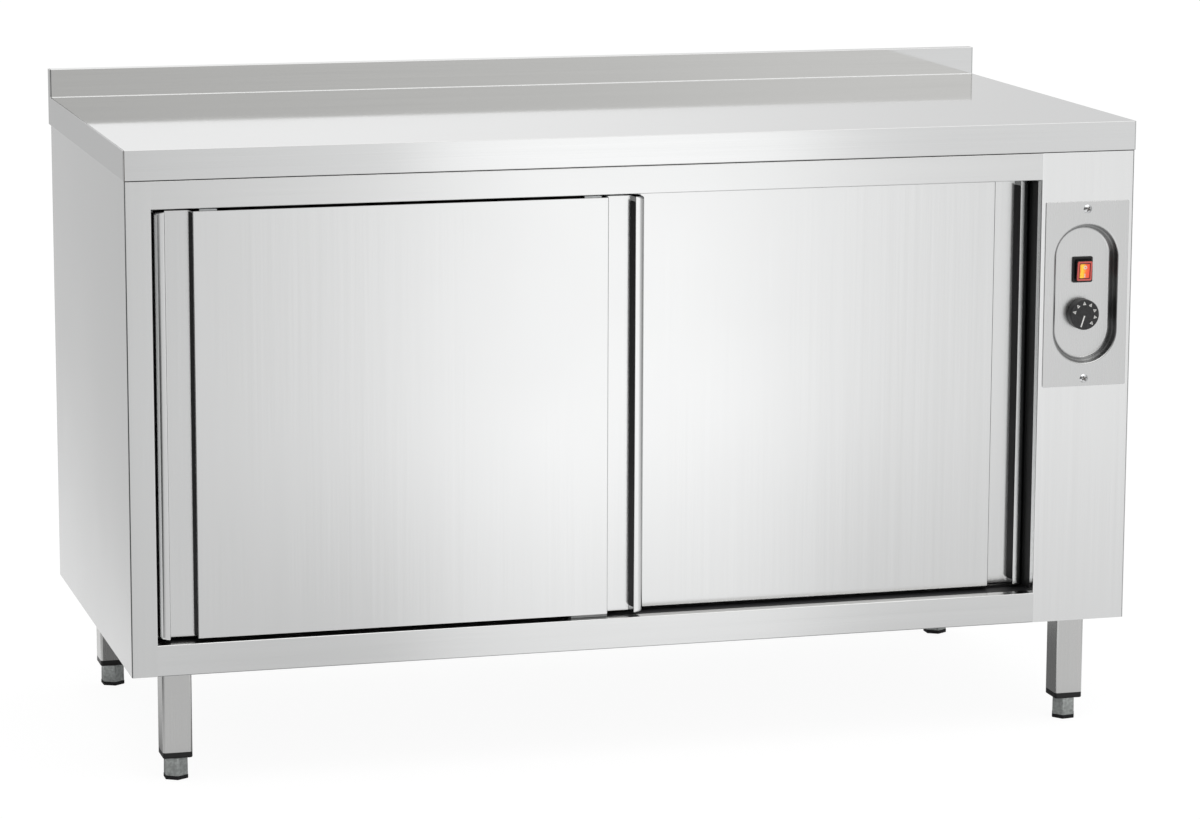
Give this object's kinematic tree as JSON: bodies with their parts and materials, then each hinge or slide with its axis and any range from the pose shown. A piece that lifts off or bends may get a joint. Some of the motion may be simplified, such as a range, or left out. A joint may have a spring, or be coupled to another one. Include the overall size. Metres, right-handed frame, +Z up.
{
  "type": "plate warmer cabinet",
  "caption": "Heated steel cabinet on four legs with hanging sliding doors, a shelf, a worktop with an upstand and a recessed control plate.",
  "frame": {"origin": "on the floor at the centre of the cabinet's outline", "axes": "+X to the right along the front, +Y to the rear, +Z up"},
  "size_m": [1.4, 0.6636, 0.89],
  "materials": {
    "stainless_satin": "satin",
    "door_steel": "satin",
    "plate_steel": "satin",
    "inner_steel": "satin",
    "leg_steel": "satin",
    "zinc_steel": "satin",
    "foot_steel": "polished",
    "screw_steel": "polished",
    "track_aluminium": "satin",
    "black_plastic": "matte",
    "knob_plastic": "satin",
    "sole_rubber": "matte",
    "guide_plastic": "matte",
    "shoe_plastic": "satin",
    "rocker_plastic": "gloss",
    "nylon": "satin",
    "chipboard": "matte",
    "mineral_wool": "matte",
    "motor_metal": "satin",
    "rod_steel": "satin",
    "terminal_plastic": "satin",
    "wire_insulation": "satin"
  },
  "bodies": {
    "cabinet": {"worktop": "stainless_satin", "worktop_core": "chipboard", "left_side_panel": "stainless_satin", "right_side_panel": "stainless_satin", "rear_panel": "stainless_satin", "base_panel": "inner_steel", "top_rail": "stainless_satin", "bottom_rail": "stainless_satin", "control_fascia": "stainless_satin", "partition_wall": "inner_steel", "left_liner": "inner_steel", "rear_liner": "inner_steel", "ceiling_liner": "inner_steel", "floor_deck": "inner_steel", "insulation": "mineral_wool", "door_track": "track_aluminium", "door_guide": "guide_plastic", "shelf_brackets": "inner_steel", "legs": "leg_steel", "leg_caps": "black_plastic", "leg_bolts": "zinc_steel", "control_plate": "plate_steel", "plate_screws": "screw_steel", "switch_housing": "black_plastic", "thermostat": "motor_metal", "heater_element": "rod_steel", "air_box": "inner_steel", "fan_motor": "motor_metal", "terminal_block": "terminal_plastic", "cable_gland": "black_plastic", "wiring_loom": "wire_insulation"},
    "shelf": {"shelf": "inner_steel"},
    "dial": {"knob": "knob_plastic", "thermostat_spindle": "zinc_steel"},
    "power_rocker": {"switch_rocker": "rocker_plastic"},
    "impeller": {"fan_impeller": "track_aluminium"},
    "leveller_front_left": {"foot_front_left": "foot_steel", "sole_front_left": "sole_rubber"},
    "leveller_front_right": {"foot_front_right": "foot_steel", "sole_front_right": "sole_rubber"},
    "leveller_rear_left": {"foot_rear_left": "foot_steel", "sole_rear_left": "sole_rubber"},
    "leveller_rear_right": {"foot_rear_right": "foot_steel", "sole_rear_right": "sole_rubber"},
    "left_door": {"left_door_front": "door_steel", "left_door_back": "inner_steel", "left_door_core": "mineral_wool", "left_door_grips": "black_plastic", "left_door_hangers": "zinc_steel", "left_door_shoe": "shoe_plastic"},
    "left_wheel_outer": {"left_roller_outer": "nylon"},
    "left_wheel_inner": {"left_roller_inner": "nylon"},
    "right_door": {"right_door_front": "door_steel", "right_door_back": "inner_steel", "right_door_core": "mineral_wool", "right_door_grips": "black_plastic", "right_door_hangers": "zinc_steel", "right_door_shoe": "shoe_plastic"},
    "right_wheel_outer": {"right_roller_outer": "nylon"},
    "right_wheel_inner": {"right_roller_inner": "nylon"}
  },
  "joints": [
    {"name": "left_door_slide", "type": "slide", "parent": "cabinet", "child": "left_door", "axis": [1, 0, 0], "range_m": [0, 0.5595]},
    {"name": "right_door_slide", "type": "slide", "parent": "cabinet", "child": "right_door", "axis": [1, 0, 0], "range_m": [-0.5595, 0]},
    {"name": "left_wheel_outer_spin", "type": "hinge", "parent": "left_door", "child": "left_wheel_outer", "pos_m": [-0.5875, -0.311, 0.7888], "axis": [0, 1, 0], "continuous": true},
    {"name": "left_wheel_inner_spin", "type": "hinge", "parent": "left_door", "child": "left_wheel_inner", "pos_m": [-0.069, -0.311, 0.7888], "axis": [0, 1, 0], "continuous": true},
    {"name": "right_wheel_outer_spin", "type": "hinge", "parent": "right_door", "child": "right_wheel_outer", "pos_m": [0.4905, -0.281, 0.7888], "axis": [0, 1, 0], "continuous": true},
    {"name": "right_wheel_inner_spin", "type": "hinge", "parent": "right_door", "child": "right_wheel_inner", "pos_m": [-0.028, -0.281, 0.7888], "axis": [0, 1, 0], "continuous": true},
    {"name": "shelf_lift", "type": "slide", "parent": "cabinet", "child": "shelf", "axis": [0, 0, 1], "range_m": [0, 0.03]},
    {"name": "dial_turn", "type": "hinge", "parent": "cabinet", "child": "dial", "pos_m": [0.6315, -0.31275, 0.583], "axis": [0, 1, 0], "range_deg": [0, 270]},
    {"name": "power_rocker_tilt", "type": "hinge", "parent": "cabinet", "child": "power_rocker", "pos_m": [0.6315, -0.31225, 0.6445], "axis": [1, 0, 0], "range_deg": [-12, 0]},
    {"name": "impeller_spin", "type": "hinge", "parent": "cabinet", "child": "impeller", "pos_m": [0.63, -0.01725, 0.36], "axis": [1, 0, 0], "continuous": true},
    {"name": "leveller_front_left_screw", "type": "slide", "parent": "cabinet", "child": "leveller_front_left", "axis": [0, 0, -1], "range_m": [0, 0.025]},
    {"name": "leveller_front_right_screw", "type": "slide", "parent": "cabinet", "child": "leveller_front_right", "axis": [0, 0, -1], "range_m": [0, 0.025]},
    {"name": "leveller_rear_left_screw", "type": "slide", "parent": "cabinet", "child": "leveller_rear_left", "axis": [0, 0, -1], "range_m": [0, 0.025]},
    {"name": "leveller_rear_right_screw", "type": "slide", "parent": "cabinet", "child": "leveller_rear_right", "axis": [0, 0, -1], "range_m": [0, 0.025]}
  ],
  "couplings": [
    {"joint": "left_wheel_outer_spin", "follows": "left_door_slide", "rad_per_m": 90.909},
    {"joint": "left_wheel_inner_spin", "follows": "left_door_slide", "rad_per_m": 90.909},
    {"joint": "right_wheel_outer_spin", "follows": "right_door_slide", "rad_per_m": 90.909},
    {"joint": "right_wheel_inner_spin", "follows": "right_door_slide", "rad_per_m": 90.909}
  ]
}
